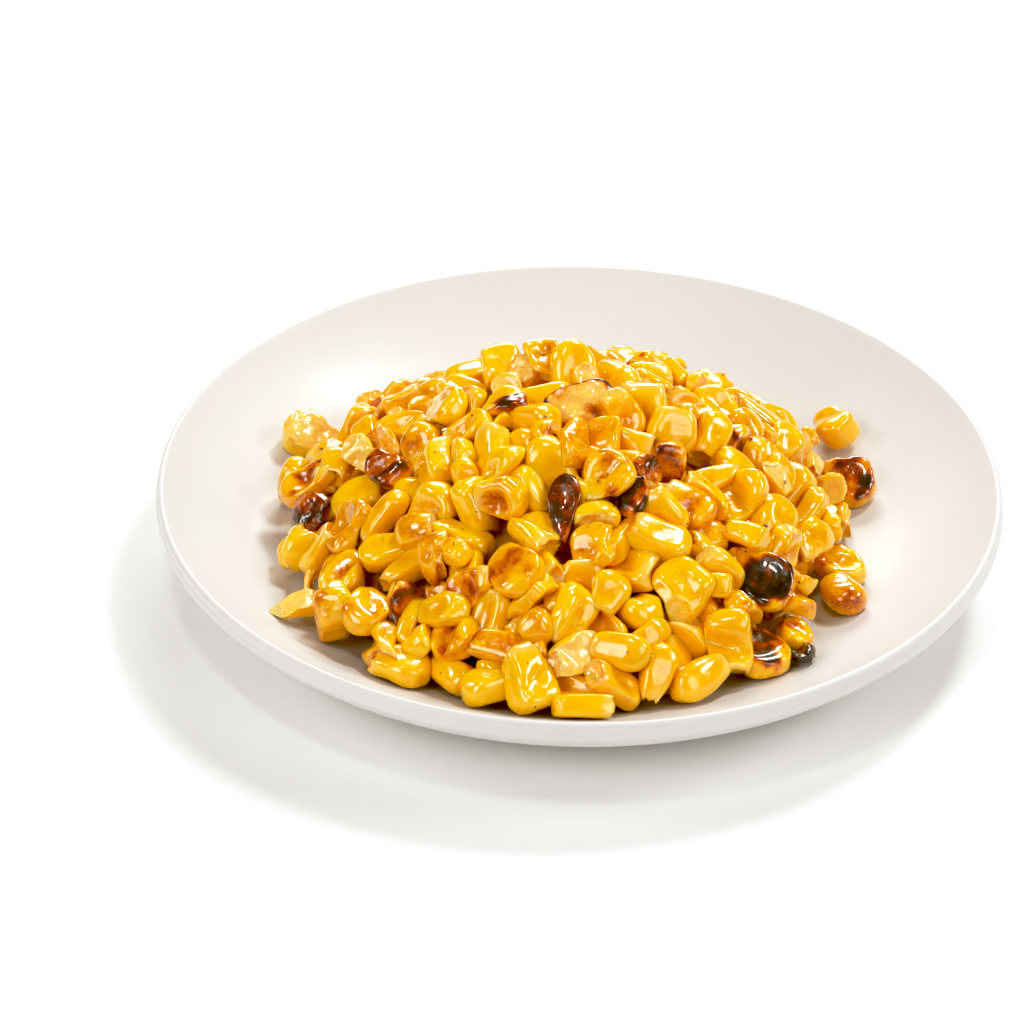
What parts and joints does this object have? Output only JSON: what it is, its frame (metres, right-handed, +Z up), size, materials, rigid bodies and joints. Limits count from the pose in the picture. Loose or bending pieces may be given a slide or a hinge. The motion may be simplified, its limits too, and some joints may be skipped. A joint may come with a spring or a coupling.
{
  "type": "plate of grilled corn kernels",
  "caption": "Round white coupe plate with a low heap of grilled sweetcorn kernels cut off the cob, charred in places.",
  "frame": {"origin": "on the surface that the plate stands on, under the middle of the plate", "axes": "+Z up; -Y towards the front, from where the dish is looked at; +X to its right"},
  "size_m": [0.165, 0.165, 0.0429],
  "materials": {
    "plate_glaze": "satin off-white glaze on stoneware",
    "corn": "wet, glossy yellow kernels with browned and blackened spots",
    "corn_seared": "shrivelled, glossy red-brown kernel skin",
    "corn_amber": "glossy amber kernel skin, dark at one end"
  },
  "bodies": {
    "root": {"plate": "plate_glaze", "corn_heap": "corn", "kernel_left": "corn", "kernel_right": "corn", "kernel_right_seared": "corn_seared", "kernel_right_amber": "corn_amber"}
  },
  "joints": []
}
